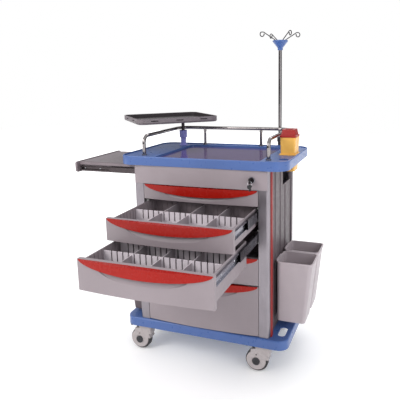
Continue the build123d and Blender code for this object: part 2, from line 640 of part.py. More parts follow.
def sharps_lid():
    """Snap lid with a raised turret, hinged along the back."""
    x0, x1, y0, y1 = SHARPS
    z = SHARPS_SHOULDER
    plate = rounded_slab(x0 - 2, x1 + 2, y0 - 2, y1 - 1, z + 0.3, z + 9, 8)
    turret = tapered_turret(x0 + 2, x1 - 2, y0 + 3, y1 - 8, z + 8.5, SHARPS_LID_TOP, 5)
    lid = plate + turret
    lid -= block(x0 + 18, x1 - 18, y0 + 20, y1 - 26, z - 1, SHARPS_LID_TOP + 1)
    hinge_y, hinge_z = y1 + 4, z - 3
    for a, b in ((x0 + 14, x0 + 23.6), (x1 - 23.6, x1 - 14)):
        lid += rod_x(hinge_y, hinge_z, a, b, 3.5)
        lid += block(a, b, hinge_y - 1, hinge_y + 3.5, hinge_z, z + 7)
        lid += block(a, b, y1 - 2, hinge_y + 3.5, z + 3, z + 7)
    return lid + rod_x(hinge_y, hinge_z, x0 + 20, x1 - 20, 1.45)


def tapered_turret(x0, x1, y0, y1, z0, z1, taper):
    low = Plane.XY.offset(z0) * Pos((x0 + x1) / 2, (y0 + y1) / 2) * RectangleRounded(x1 - x0, y1 - y0, 8)
    high = Plane.XY.offset(z1) * Pos((x0 + x1) / 2, (y0 + y1) / 2) * RectangleRounded(
        x1 - x0 - 2 * taper, y1 - y0 - 2 * taper, 6)
    return loft([low, high])


# ---------------------------------------------------------------- waste bins and their rail
def bin_hanger_rail():
    """Flat steel rail on two stand-offs, screwed to the right-hand side panel."""
    rail = block(BODY_HALF_W + 3.5, BODY_HALF_W + 6.5, -145, 145, 452, 474)
    for y in (-RIB_PITCH, 0.0, RIB_PITCH):
        rail += block(BODY_HALF_W - 2, BODY_HALF_W + 4, y - 6, y + 6, 454, 464)
    return rail


def waste_bin(centre):
    """Open-topped tapered bin with a rolled rim; its back folds over the rail."""
    def shell(wall, low, high):
        bottom = Plane.XY.offset(low) * Pos(BIN_BACK + BIN_BOTTOM_REACH / 2, centre) * RectangleRounded(
            BIN_BOTTOM_REACH - 2 * wall, 2 * BIN_HALF_Y - 16 - 2 * wall, 14 - wall)
        top = Plane.XY.offset(high) * Pos(BIN_BACK + BIN_TOP_REACH / 2, centre) * RectangleRounded(
            BIN_TOP_REACH - 2 * wall, 2 * BIN_HALF_Y - 6 - 2 * wall, 18 - wall)
        return loft([bottom, top])
    body = shell(0, BIN_BOTTOM, BIN_TOP)
    rim = rounded_slab(BIN_BACK, BIN_BACK + BIN_TOP_REACH + 3, centre - BIN_HALF_Y, centre + BIN_HALF_Y,
                       BIN_TOP - 7, BIN_TOP, 18)
    hook = block(BODY_HALF_W + 1.2, BIN_BACK + 8, centre - 40, centre + 40, BIN_TOP - 7, BIN_TOP - 3)
    hook += block(BODY_HALF_W + 1.2, BODY_HALF_W + 3.0, centre - 40, centre + 40, BIN_TOP - 19, BIN_TOP - 3)
    hollow = shell(3, BIN_BOTTOM + 3, BIN_TOP + 1)
    return body + rim + hook - hollow


# ---------------------------------------------------------------- casters
def caster_housing(corner):
    """Hooded fork: two cheeks beside the wheel, a crown over it and a block round the stem."""
    sx, sy = STEMS[corner]
    wx, half = sx - TRAIL, 22.0
    body = rod_y(wx, WHEEL_R + 4, sy - half, sy + half, 43)
    crown = rod_y(wx, WHEEL_R, sy - half, sy + half, 57)
    body += crown & block(wx - 24, wx + 60, sy - 30, sy + 30, 62, BASE_BOTTOM - 5)
    body += rounded_slab(wx - 6, sx + 22, sy - half, sy + half, 82, BASE_BOTTOM - 4, 8)
    body -= rod_y(wx, WHEEL_R, sy - WHEEL_HALF_W - 2, sy + WHEEL_HALF_W + 2, WHEEL_R + 2.5)
    body -= block(wx - 70, wx + 70, sy - WHEEL_HALF_W - 2, sy + WHEEL_HALF_W + 2, -10, WHEEL_R)
    body -= rod_y(wx, WHEEL_R, sy - 40, sy + 40, 6 + RUN_FIT)
    body -= rod_y(wx + 1, WHEEL_R + 30, sy - 40, sy + 40, 3.5)
    body -= rod_z(sx, sy, BASE_BOTTOM - 21.5, BASE_BOTTOM, STEM_R + RUN_FIT)
    if corner.startswith("f"):
        body -= block(wx - 30, wx - 3, sy - 15, sy + 15, 106, 130)
        body -= rod_y(wx - 12, 113, sy - 19, sy + 19, 2 + RUN_FIT)
    return body


def caster_wheel(corner):
    """Tyre, hub, axle and end caps of one wheel, turning together."""
    sx, sy = STEMS[corner]
    wx = sx - TRAIL
    tyre = rod_y(wx, WHEEL_R, sy - WHEEL_HALF_W, sy + WHEEL_HALF_W, WHEEL_R)
    tyre = fillet(tyre.edges().filter_by(GeomType.CIRCLE), 6)
    wheel = tyre + rod_y(wx, WHEEL_R, sy - 24, sy + 24, 6)
    for y0, y1 in ((sy - 26, sy - 22.4), (sy + 22.4, sy + 26)):
        wheel += rod_y(wx, WHEEL_R, y0, y1, 17)
    return wheel


def brake_pedal(corner):
    """Foot lever over the wheel, hinged in the housing's crown."""
    sx, sy = STEMS[corner]
    wx = sx - TRAIL
    lever = block(wx - 50, wx - 8, sy - 14, sy + 14, 114, 119)
    lever += block(wx - 50, wx - 40, sy - 14, sy + 14, 110, 119)
    lever += rod_y(wx - 12, 113, sy - 14, sy + 14, 5)
    return lever + rod_y(wx - 12, 113, sy - 18.5, sy + 18.5, 2)


# ---------------------------------------------------------------- lock
def lock_key():
    """Cam lock plug with its cam, and the key standing in it with a second key on a ring."""
    x, z = LOCK_AT
    front = -BODY_HALF_D - 14
    plug = rod_y(x, z, front, -BODY_HALF_D + 10, 9) + rod_y(x, z, front - 3, front, 12)
    cam = block(x - 7, x + 7, -BODY_HALF_D + 9, -BODY_HALF_D + 12, z - 9, z + 24)
    blade = block(x - 1, x + 1, front - 14, front - 2, z - 4, z + 4)
    bow = rod_x(front - 22, z, x - 1.25, x + 1.25, 11)
    return plug + cam + blade + bow


# ---------------------------------------------------------------- everything together
def all_nodes():
    nodes = {
        "base_tray": base_tray(), "base_frame": base_frame(), "corner_columns": corner_columns(),
        "column_inserts": column_inserts(), "side_panel_left": side_panel_left(),
        "side_panel_right": side_panel_right(), "rear_panel": rear_panel(),
        "front_fascia": front_fascia(), "top_board": top_board(), "guard_rail": guard_rail(),
        "slide_outer_rails": slide_outer_rails(), "iv_sleeve": iv_sleeve(),
        "monitor_post": monitor_post(), "bin_hanger_rail": bin_hanger_rail(),
        "side_shelf_board": side_shelf_board(), "side_shelf_inner_rails": side_shelf_inner_rails(),
        "side_shelf_mid_rails": side_shelf_mid_rails(), "monitor_tray": monitor_tray(),
        "monitor_spindle": monitor_spindle(), "iv_pole": iv_pole(), "iv_head": iv_head(),
        "iv_hooks": iv_hooks(), "iv_clamp_knob": iv_clamp_knob(),
        "sharps_container": sharps_container(), "sharps_lid": sharps_lid(),
        "waste_bin_front": waste_bin(BIN_CENTRES[0]), "waste_bin_rear": waste_bin(BIN_CENTRES[1]),
        "lock_key": lock_key(),
        "drawer_2_dividers": divider_grid(1, 2, 4), "drawer_3_dividers": divider_grid(2, 3, 4),
    }
    for index in range(len(DRAWER_HEIGHTS)):
        name = f"drawer_{index + 1}"
        nodes[f"{name}_box"] = drawer_box(index)
        nodes[f"{name}_handle"] = drawer_handle(index)
        nodes[f"{name}_inner_rails"] = drawer_inner_rails(index)
        nodes[f"{name}_mid_rails"] = drawer_mid_rails(index)
    for corner in STEMS:
        nodes[f"caster_{corner}_housing"] = caster_housing(corner)
        nodes[f"caster_{corner}_wheel"] = caster_wheel(corner)
        if corner.startswith("f"):
            nodes[f"caster_{corner}_brake_pedal"] = brake_pedal(corner)
    return nodes


def frame_shift(nodes):
    """From the drawing's zero to the middle of the whole cart's footprint."""
    boxes = [shape.bounding_box() for shape in nodes.values()]
    x = (min(b.min.X for b in boxes) + max(b.max.X for b in boxes)) / 2
    y = (min(b.min.Y for b in boxes) + max(b.max.Y for b in boxes)) / 2
    return (-x, -y, 0.0)


NODES = all_nodes()
FRAME_SHIFT = frame_shift(NODES)

if __name__ == "__main__":
    os.makedirs("parts", exist_ok=True)
    for name, shape in NODES.items():
        export_step(Pos(*FRAME_SHIFT) * shape, f"parts/{name}.step")
    print(len(NODES), "nodes, frame shift", FRAME_SHIFT)
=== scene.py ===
import math

import bmesh
import bpy
from mathutils import Matrix, Vector


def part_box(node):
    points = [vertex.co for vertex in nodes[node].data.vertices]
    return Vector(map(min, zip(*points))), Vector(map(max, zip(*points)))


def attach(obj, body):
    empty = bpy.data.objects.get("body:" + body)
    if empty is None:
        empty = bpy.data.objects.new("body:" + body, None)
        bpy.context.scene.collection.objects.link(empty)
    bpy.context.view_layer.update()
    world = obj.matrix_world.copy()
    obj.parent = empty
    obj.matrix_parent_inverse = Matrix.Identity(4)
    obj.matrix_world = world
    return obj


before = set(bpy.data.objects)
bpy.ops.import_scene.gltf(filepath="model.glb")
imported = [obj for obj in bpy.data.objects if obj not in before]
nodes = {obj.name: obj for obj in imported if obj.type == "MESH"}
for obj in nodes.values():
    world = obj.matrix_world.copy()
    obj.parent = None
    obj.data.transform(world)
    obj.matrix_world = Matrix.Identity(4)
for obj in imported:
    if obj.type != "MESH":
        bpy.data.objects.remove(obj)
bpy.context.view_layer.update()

# Looks of a hospital crash cart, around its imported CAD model.  Metres, in the CAD's frame: +Z up, the
# drawers open towards -Y, the side shelf towards -X, the floor at Z = 0.
MM = 0.001
SIDES = (-1, 1)
CORNERS = ("fl", "fr", "rl", "rr")
DRAWERS = (1, 2, 3, 4, 5)
DIVIDED_DRAWERS = (2, 3)

# Millimetres and degrees of the CAD part that the pieces made here have to meet.
WORKTOP_MAT = (-211, 259, -211, 197)    # x0, x1, y0, y1 of the mat on the sunk work surface
WORKTOP_MAT_HEIGHTS = (915.3, 916.8)
SHELF_TOP = 880
LOCK_HEIGHT = 852
TRAY_TURN = 42
HOOK_TURN = 42
HOOK_BEAD_REACH = 85                    # from the pole's axis, inside the hook's loop
HOOK_BEAD_DROP = 12                     # below the top of the hooks
SLIDE_WEB = 7.5                         # from the outside of the inner members to their web
CAGE_WEB = 3.2
CAGE_LENGTH = 250
CAGE_WINDOWS = 14


def spot(x, y, z):
    """A point given in millimetres from the middle of the body's four columns, and up from the floor."""
    low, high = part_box("corner_columns")
    return Vector(((low.x + high.x) / 2 + x * MM, (low.y + high.y) / 2 + y * MM, z * MM))


# ---------------------------------------------------------------- node materials
def srgb(red, green, blue):
    """A display colour, 0 to 255, as linear colour."""
    def linear(value):
        value /= 255
        return value / 12.92 if value <= 0.04045 else ((value + 0.055) / 1.055) ** 2.4
    return (linear(red), linear(green), linear(blue), 1.0)


class Surface:
    """A material and short ways to add nodes to it."""

    def __init__(self, name):
        self.material = bpy.data.materials.new(name)
        self.material.use_nodes = True
        self.tree = self.material.node_tree
        self.shader = self.tree.nodes["Principled BSDF"]
        self.place = self.node("ShaderNodeTexCoord").outputs["Object"]

    def node(self, kind, **settings):
        made = self.tree.nodes.new(kind)
        for key, value in settings.items():
            setattr(made, key, value)
        return made

    def link(self, output, target):
        self.tree.links.new(output, target)

    def stretched(self, scale):
        mapping = self.node("ShaderNodeMapping")
        mapping.inputs["Scale"].default_value = scale
        self.link(self.place, mapping.inputs["Vector"])
        return mapping.outputs["Vector"]

    def noise(self, scale, detail=3.0, rough=0.5, where=None):
        made = self.node("ShaderNodeTexNoise")
        made.inputs["Scale"].default_value = scale
        made.inputs["Detail"].default_value = detail
        made.inputs["Roughness"].default_value = rough
        self.link(where or self.place, made.inputs["Vector"])
        return made.outputs["Fac"]

    def spread(self, value, low, high, from_low=0.35, from_high=0.65):
        made = self.node("ShaderNodeMapRange")
        made.inputs["From Min"].default_value = from_low
        made.inputs["From Max"].default_value = from_high
        made.inputs["To Min"].default_value = low
        made.inputs["To Max"].default_value = high
        self.link(value, made.inputs["Value"])
        return made.outputs["Result"]

    def mix(self, factor, first, second):
        made = self.node("ShaderNodeMix", data_type="RGBA")
        self.link(factor, made.inputs["Factor"])
        for colour, target in ((first, made.inputs[6]), (second, made.inputs[7])):
            if isinstance(colour, tuple):
                target.default_value = colour
            else:
                self.link(colour, target)
        return made.outputs[2]

    def math(self, operation, first, second=None):
        made = self.node("ShaderNodeMath", operation=operation)
        for value, target in ((first, made.inputs[0]), (second, made.inputs[1])):
            if isinstance(value, (int, float)):
                target.default_value = value
            elif value is not None:
                self.link(value, target)
        return made.outputs[0]

    def set(self, **values):
        for key, value in values.items():
            self.shader.inputs[key.replace("_", " ")].default_value = value

    def bump(self, height, distance, strength=1.0, normal=None):
        made = self.node("ShaderNodeBump")
        made.inputs["Distance"].default_value = distance
        made.inputs["Strength"].default_value = strength
        self.link(height, made.inputs["Height"])
        if normal is not None:
            self.link(normal, made.inputs["Normal"])
        return made.outputs["Normal"]

    def soft_edges(self, radius):
        made = self.node("ShaderNodeBevel", samples=4)
        made.inputs["Radius"].default_value = radius
        return made.outputs["Normal"]


def tone(colour, factor):
    return (colour[0] * factor, colour[1] * factor, colour[2] * factor, 1.0)


def moulded_plastic(name, colour, rough=0.4, grain=0.06 * MM, grain_scale=1400, mottle=0.07,
                    edge=0.9 * MM, scuffs=0.12):
    """Moulded plastic: slow colour drift, a fine moulded grain, handling scuffs that change the gloss."""
    s = Surface(name)
    drift = s.spread(s.noise(5.0, 4.0), 0.0, 1.0)
    base = s.mix(drift, tone(colour, 1 - mottle), tone(colour, 1 + mottle))
    specks = s.spread(s.noise(grain_scale * 0.6, 2.0), 0.0, mottle * 2, 0.45, 0.75)
    base = s.mix(specks, base, tone(colour, 0.8))
    scratch = s.noise(42, 6.0, 0.7, s.stretched((1.0, 1.0, 0.25)))
    marks = s.spread(scratch, 0.0, 1.0, 0.56, 0.74)
    base = s.mix(s.math("MULTIPLY", marks, scuffs), base, tone(colour, 1.25))
    s.link(base, s.shader.inputs["Base Color"])
    gloss = s.math("ADD", s.spread(s.noise(60, 4.0), rough - 0.05, rough + 0.06),
                   s.math("MULTIPLY", marks, 0.12))
    s.link(gloss, s.shader.inputs["Roughness"])
    fine = s.noise(grain_scale, 1.5)
    s.link(s.bump(fine, grain, 0.5, s.soft_edges(edge)), s.shader.inputs["Normal"])
    return s


def worn_metal(name, colour, rough=0.25, along=(1.0, 1.0, 1.0), brush=0.02 * MM, edge=0.5 * MM, tint=0.12):
    """Bare or plated metal: grain drawn out along one axis, finger marks that dull it, faint colour drift."""
    s = Surface(name)
    grain = s.noise(1.0, 4.0, 0.6, s.stretched(tuple(900 * (1.0 if a else 0.03) for a in along)))
    cloud = s.noise(14, 5.0, 0.6)
    base = s.mix(s.spread(cloud, 0.0, 1.0), tone(colour, 1 - tint), tone(colour, 1 + tint * 0.5))
    base = s.mix(s.spread(grain, 0.0, 0.35), base, tone(colour, 0.7))
    s.link(base, s.shader.inputs["Base Color"])
    s.set(Metallic=1.0)
    dull = s.math("ADD", s.spread(cloud, rough - 0.04, rough + 0.07), s.spread(grain, -0.04, 0.06))
    s.link(dull, s.shader.inputs["Roughness"])
    s.link(s.bump(grain, brush, 0.35, s.soft_edges(edge)), s.shader.inputs["Normal"])
    return s


BLUE = srgb(68, 97, 156)
WARM_GREY = srgb(148, 137, 142)
materials = {
    "blue": moulded_plastic("blue_abs", BLUE, 0.32, 0.03 * MM, edge=1.2 * MM),
    "post": moulded_plastic("post_abs", srgb(144, 145, 212), 0.3, 0.02 * MM),
    "grey": moulded_plastic("grey_abs", WARM_GREY, 0.42),
    "shelf": moulded_plastic("shelf_abs", srgb(120, 109, 114), 0.42),
    "panel": moulded_plastic("panel_abs", srgb(92, 81, 86), 0.5),
    "drawer": moulded_plastic("drawer_abs", tone(WARM_GREY, 0.9), 0.42, mottle=0.05),
    "bin": moulded_plastic("bin_abs", srgb(174, 163, 168), 0.38),
    "yellow": moulded_plastic("sharps_yellow", srgb(230, 176, 82), 0.38),
    "lid": moulded_plastic("sharps_red", srgb(150, 10, 6), 0.42),
    "caster": moulded_plastic("caster_nylon", srgb(172, 164, 164), 0.28, 0.02 * MM),
    "black": moulded_plastic("black_nylon", srgb(28, 28, 30), 0.45, 0.1 * MM),
    "liner": moulded_plastic("black_rubber", srgb(44, 38, 41), 0.6, 0.15 * MM, 800),
    "nylon": moulded_plastic("white_nylon", srgb(222, 222, 218), 0.4, edge=0.3 * MM),
    "laminate": moulded_plastic("shelf_laminate", srgb(119, 109, 114), 0.36, 0.02 * MM, scuffs=0.05),
    "powder": moulded_plastic("black_powder_coat", srgb(40, 40, 44), 0.4, 0.12 * MM, 900),
    "aluminium": worn_metal("anodised_aluminium", srgb(150, 144, 150), 0.36, (1, 1, 0)),
    "chrome": worn_metal("polished_steel", srgb(146, 141, 141), 0.12, edge=0.3 * MM, brush=0.005 * MM),
    "shelf_zinc": worn_metal("shelf_slide_zinc", srgb(84, 77, 79), 0.28, (0, 1, 1), edge=0.3 * MM),
    "wire": worn_metal("blackened_steel", srgb(58, 54, 56), 0.25, edge=0.2 * MM),
    "zinc": worn_metal("zinc_plate", srgb(150, 150, 160), 0.22, (1, 0, 1), edge=0.3 * MM),
    "dark_zinc": worn_metal("black_zinc", srgb(66, 66, 74), 0.25, (1, 0, 1), edge=0.3 * MM),
    "bright": worn_metal("bright_screw", srgb(205, 205, 210), 0.15, edge=0.2 * MM),
}


def divider_plastic():
    """Pale comb strips along the drawer, and darker cross dividers, told apart by which way they face."""
    s = moulded_plastic("divider_pvc", srgb(212, 204, 210), 0.35, edge=0.3 * MM)
    pale = s.shader.inputs["Base Color"].links[0].from_socket
    facing = s.node("ShaderNodeSeparateXYZ")
    s.link(s.node("ShaderNodeNewGeometry").outputs["True Normal"], facing.inputs["Vector"])
    across = s.math("GREATER_THAN", s.math("ABSOLUTE", facing.outputs["X"]), 0.7)
    dark = s.mix(s.spread(s.noise(9, 4.0), 0.0, 1.0), srgb(132, 123, 128), srgb(156, 147, 152))
    s.link(s.mix(across, pale, dark), s.shader.inputs["Base Color"])
    return s


def clear_mat():
    """Vinyl sheet on the blue work surface, drawn opaque in the tint that it gives the board."""
    s = moulded_plastic("clear_mat", srgb(80, 60, 112), 0.12, 0.01 * MM, mottle=0.1, scuffs=0.06)
    s.set(Coat_Weight=0.3, Coat_Roughness=0.05, IOR=1.5)
    return s


def tray_plastic():
    """The equipment tray: grey walls, turned a pebbled near-black in a band at the height of its raised deck.
    """
    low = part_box("monitor_tray")[0].z
    s = moulded_plastic("tray_abs", srgb(112, 103, 108), 0.4)
    walls = s.shader.inputs["Base Color"].links[0].from_socket
    height = s.node("ShaderNodeSeparateXYZ")
    s.link(s.place, height.inputs["Vector"])
    above = s.math("GREATER_THAN", height.outputs["Z"], low + 5.5 * MM)
    below = s.math("LESS_THAN", height.outputs["Z"], low + 7.5 * MM)
    # Near-black from 5.5 to 7.5 mm above the tray's lowest point, over its raised deck.
    dark_deck_band = s.mix(s.spread(s.noise(500, 2.0), 0.0, 1.0), srgb(34, 30, 32), srgb(56, 49, 52))
    s.link(s.mix(s.math("MULTIPLY", above, below), walls, dark_deck_band), s.shader.inputs["Base Color"])
    return s


def red_grip():
    """Red grip plastic, glossy and drawn opaque."""
    s = moulded_plastic("red_grip", srgb(152, 18, 6), 0.24, 0.002 * MM, mottle=0.03, scuffs=0.0)
    s.set(IOR=1.49, Specular_IOR_Level=0.22)
    return s


def insert_vinyl():
    """Soft strips in the columns' grooves: red on the two front columns, grey on the rear ones."""
    s = moulded_plastic("red_vinyl", srgb(136, 16, 14), 0.5)
    red = s.shader.inputs["Base Color"].links[0].from_socket
    place = s.node("ShaderNodeSeparateXYZ")
    s.link(s.place, place.inputs["Vector"])
    behind = s.math("GREATER_THAN", place.outputs["Y"], spot(0, 0, 0).y)
    grey = s.mix(s.spread(s.noise(11, 4.0), 0.0, 1.0), srgb(96, 88, 92), srgb(116, 107, 111))
    s.link(s.mix(behind, red, grey), s.shader.inputs["Base Color"])
    return s


materials["grip"] = red_grip()
materials["insert"] = insert_vinyl()
materials["divider"] = divider_plastic()
materials["mat"] = clear_mat()
materials["tray"] = tray_plastic()


def wheel_surface():
    """Tyre, hub and end caps of a wheel, told apart by how far they are from its middle."""
    s = Surface("caster_wheel")
    unit = s.tree.nodes["Texture Coordinate"].outputs["Generated"]
    parts = s.node("ShaderNodeSeparateXYZ")
    s.link(unit, parts.inputs["Vector"])
    across = s.math("ABSOLUTE", s.math("SUBTRACT", parts.outputs["Y"], 0.5))
    dx = s.math("SUBTRACT", parts.outputs["X"], 0.5)
    dz = s.math("SUBTRACT", parts.outputs["Z"], 0.5)
    radius = s.math("SQRT", s.math("ADD", s.math("MULTIPLY", dx, dx), s.math("MULTIPLY", dz, dz)))
    rubber = s.mix(s.spread(s.noise(30, 5.0), 0.0, 1.0), srgb(34, 34, 36), srgb(58, 56, 56))
    hub = s.mix(s.spread(s.noise(8, 3.0), 0.0, 1.0), srgb(150, 146, 146), srgb(172, 168, 168))
    cap = s.mix(s.spread(s.noise(12, 3.0), 0.0, 1.0), srgb(66, 66, 70), srgb(88, 88, 92))
    inner = s.math("LESS_THAN", radius, 0.37)
    base = s.mix(inner, rubber, hub)
    base = s.mix(s.math("GREATER_THAN", across, 0.38), base, cap)
    s.link(base, s.shader.inputs["Base Color"])
    s.link(s.spread(s.noise(120, 4.0), 0.42, 0.62), s.shader.inputs["Roughness"])
    s.link(s.bump(s.noise(900, 2.0), 0.08 * MM, 0.5, s.soft_edges(0.6 * MM)), s.shader.inputs["Normal"])
    return s


materials["wheel"] = wheel_surface()


def paint(node, key):
    """Give a CAD node its material in every slot it has."""
    slots = nodes[node].data.materials
    for i in range(len(slots)):
        slots[i] = materials[key].material


CAD_LOOKS = {
    "blue": ("base_tray", "top_board", "iv_head"),
    "post": ("monitor_post",),
    "grey": ("front_fascia",),
    "shelf": ("side_shelf_board",),
    "panel": ("side_panel_left", "side_panel_right", "rear_panel"),
    "tray": ("monitor_tray",),
    "bin": ("waste_bin_front", "waste_bin_rear"),
    "powder": ("base_frame", "iv_sleeve", "bin_hanger_rail"),
    "chrome": ("guard_rail", "iv_pole"),
    "wire": ("iv_hooks", "lock_key", "monitor_spindle"),
    "aluminium": ("corner_columns",),
    "insert": ("column_inserts",),
    "zinc": ("slide_outer_rails",),
    "shelf_zinc": ("side_shelf_inner_rails", "side_shelf_mid_rails"),
    "black": ("iv_clamp_knob", "caster_fl_brake_pedal", "caster_fr_brake_pedal"),
    "yellow": ("sharps_container",),
    "lid": ("sharps_lid",),
}
for look, painted in CAD_LOOKS.items():
    for node in painted:
        paint(node, look)
for number in DRAWERS:
    paint(f"drawer_{number}_box", "drawer")
    paint(f"drawer_{number}_handle", "grip")
    paint(f"drawer_{number}_inner_rails", "zinc")
    paint(f"drawer_{number}_mid_rails", "dark_zinc")
for number in DIVIDED_DRAWERS:
    paint(f"drawer_{number}_dividers", "divider")
for corner in CORNERS:
    paint(f"caster_{corner}_housing", "caster")
    paint(f"caster_{corner}_wheel", "wheel")


# ---------------------------------------------------------------- mesh helpers
def add_block(bm, low, high):
    """A box between two corners."""
    xs, ys, zs = zip(low, high)
    v = [bm.verts.new((x, y, z)) for z in zs for y in ys for x in xs]
    for face in ((0, 1, 3, 2), (4, 6, 7, 5), (0, 4, 5, 1), (2, 3, 7, 6), (0, 2, 6, 4), (1, 5, 7, 3)):
        bm.faces.new([v[i] for i in face])


def rounded_outline(x0, x1, y0, y1, radius, steps=7):
    """Corner points of a rectangle with round corners, anticlockwise."""
    points = []
    centres = ((x1 - radius, y1 - radius), (x0 + radius, y1 - radius), (x0 + radius, y0 + radius),
               (x1 - radius, y0 + radius))
    for quarter, (cx, cy) in enumerate(centres):
        for i in range(steps + 1):
            angle = math.radians(90 * (quarter + i / steps))
            points.append((cx + radius * math.cos(angle), cy + radius * math.sin(angle)))
    return points


def add_slab(bm, outline, z0, z1):
    """An upright prism over an outline."""
    low = [bm.verts.new((x, y, z0)) for x, y in outline]
    high = [bm.verts.new((x, y, z1)) for x, y in outline]
    bm.faces.new(low[::-1])
    bm.faces.new(high)
    for i in range(len(outline)):
        j = (i + 1) % len(outline)
        bm.faces.new((low[i], low[j], high[j], high[i]))


def add_turned(bm, centre, axis, profile, steps=32):
    """A turned part: profile is a list of (radius, height along the axis), closed where the radius is 0."""
    turn = Vector((0, 0, 1)).rotation_difference(Vector(axis)).to_matrix()
    rings = []
    for radius, height in profile:
        count = steps if radius > 0 else 1
        ring = []
        for i in range(count):
            angle = 2 * math.pi * i / steps
            point = turn @ Vector((radius * math.cos(angle), radius * math.sin(angle), height))
            ring.append(bm.verts.new(Vector(centre) + point))
        rings.append(ring)
    for a, b in zip(rings, rings[1:]):
        for i in range(steps):
            corners = [a[i % len(a)], a[(i + 1) % len(a)], b[(i + 1) % len(b)], b[i % len(b)]]
            bm.faces.new(list(dict.fromkeys(corners)))


def add_ring(bm, centre, axis, major, minor, steps=40, around=10):
    """A torus about an axis."""
    turn = Vector((0, 0, 1)).rotation_difference(Vector(axis)).to_matrix()
    rows = []
    for i in range(steps):
        a = 2 * math.pi * i / steps
        row = []
        for j in range(around):
            b = 2 * math.pi * j / around
            reach = major + minor * math.cos(b)
            point = turn @ Vector((reach * math.cos(a), reach * math.sin(a), minor * math.sin(b)))
            row.append(bm.verts.new(Vector(centre) + point))
        rows.append(row)
    for i in range(steps):
        for j in range(around):
            k, m = (i + 1) % steps, (j + 1) % around
            bm.faces.new((rows[i][j], rows[k][j], rows[k][m], rows[i][m]))


def dome_screw(radius, height):
    """Profile of a domed screw head with a small socket."""
    return [(radius, 0), (radius, 0.35 * height), (0.8 * radius, 0.85 * height), (0.45 * radius, height),
            (0.4 * radius, 0.5 * height), (0, 0.5 * height)]


def piece(name, bm, body, key, bevel=0.0):
    """Turn a bmesh into a shown piece that rides on a body."""
    bmesh.ops.recalc_face_normals(bm, faces=bm.faces)
    for edge in bm.edges:
        edge.smooth = len(edge.link_faces) == 2 and edge.calc_face_angle(0.0) < math.radians(32)
    for face in bm.faces:
        face.smooth = True
    mesh = bpy.data.meshes.new(name)
    bm.to_mesh(mesh)
    bm.free()
    mesh.materials.append(materials[key].material)
    made = bpy.data.objects.new(name, mesh)
    bpy.context.scene.collection.objects.link(made)
    if bevel:
        rounding = made.modifiers.new("rounding", "BEVEL")
        rounding.width = bevel
        rounding.segments = 2
        rounding.limit_method = "ANGLE"
    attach(made, body)
    return made


# ---------------------------------------------------------------- work surface, tray and shelf
def work_surface_mat():
    """Clear vinyl sheet cut to the sunk part of the board."""
    x0, x1, y0, y1 = WORKTOP_MAT
    z0, z1 = WORKTOP_MAT_HEIGHTS
    low, high = spot(x0, y0, z0), spot(x1, y1, z1)
    bm = bmesh.new()
    add_slab(bm, rounded_outline(low.x, high.x, low.y, high.y, 27 * MM), low.z, high.z)
    piece("work_surface_mat", bm, "root", "mat", bevel=0.4 * MM)


def tray_liner():
    """Black rubber strip standing round the inside of the tray's walls, behind their slots."""
    low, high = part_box("monitor_tray")
    pivot = (low + high) / 2
    half_x, half_y, wall, corner = 192.4 * MM, 178.4 * MM, 1.6 * MM, 31 * MM
    turn = Matrix.Translation((pivot.x, pivot.y, 0)) @ Matrix.Rotation(math.radians(TRAY_TURN), 4, "Z")
    outer = rounded_outline(-half_x, half_x, -half_y, half_y, corner)
    inner = rounded_outline(-half_x + wall, half_x - wall, -half_y + wall, half_y - wall, corner - wall)
    bottom, top = low.z + 4.4 * MM, high.z - 1.5 * MM
    bm = bmesh.new()
    rings = [[bm.verts.new(turn @ Vector((x, y, z))) for x, y in line]
             for line, z in ((outer, bottom), (outer, top), (inner, top), (inner, bottom))]
    for a, b in zip(rings, rings[1:] + rings[:1]):
        for i in range(len(a)):
            j = (i + 1) % len(a)
            bm.faces.new((a[i], a[j], b[j], b[i]))
    piece("monitor_tray_liner", bm, "monitor_tray", "liner")


def shelf_details():
    """Laminate sheet on the pull-out shelf, and the screws of its slides."""
    low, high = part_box("side_shelf_board")
    top = spot(0, 0, SHELF_TOP).z
    bm = bmesh.new()
    outline = rounded_outline(low.x + 20 * MM, high.x - 12 * MM, low.y + 32 * MM, high.y - 32 * MM,
                              8 * MM)
    add_slab(bm, outline, top + 0.1 * MM, top + 1.0 * MM)
    piece("side_shelf_laminate", bm, "side_shelf", "laminate", bevel=0.3 * MM)
    rail_low, rail_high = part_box("side_shelf_inner_rails")
    middle = (rail_low.z + rail_high.z) / 2
    bm = bmesh.new()
    for side in SIDES:
        for step in (0.06, 0.3, 0.55, 0.8):
            x = rail_low.x + step * (rail_high.x - rail_low.x)
            y = (rail_low.y + rail_high.y) / 2 + side * ((rail_high.y - rail_low.y) / 2 - 11.4 * MM)
            add_turned(bm, (x, y, middle), (0, side, 0), dome_screw(3.6 * MM, 1.6 * MM), 20)
    piece("side_shelf_screws", bm, "side_shelf", "bright")


# ---------------------------------------------------------------- drawers
def drawer_screws(number):
    """Screws that hold the inner slide members to the drawer's sides."""
    low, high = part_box(f"drawer_{number}_inner_rails")
    middle, height = (low + high) / 2, (low.z + high.z) / 2
    web = (high.x - low.x) / 2 - SLIDE_WEB * MM
    bm = bmesh.new()
    for side in SIDES:
        for step in (0.05, 0.18, 0.5, 0.85):
            y = low.y + step * (high.y - low.y)
            place = (middle.x + side * web, y, height)
            add_turned(bm, place, (side, 0, 0), dome_screw(3.6 * MM, 1.6 * MM), 20)
    piece(f"drawer_{number}_screws", bm, f"drawer_{number}", "bright")


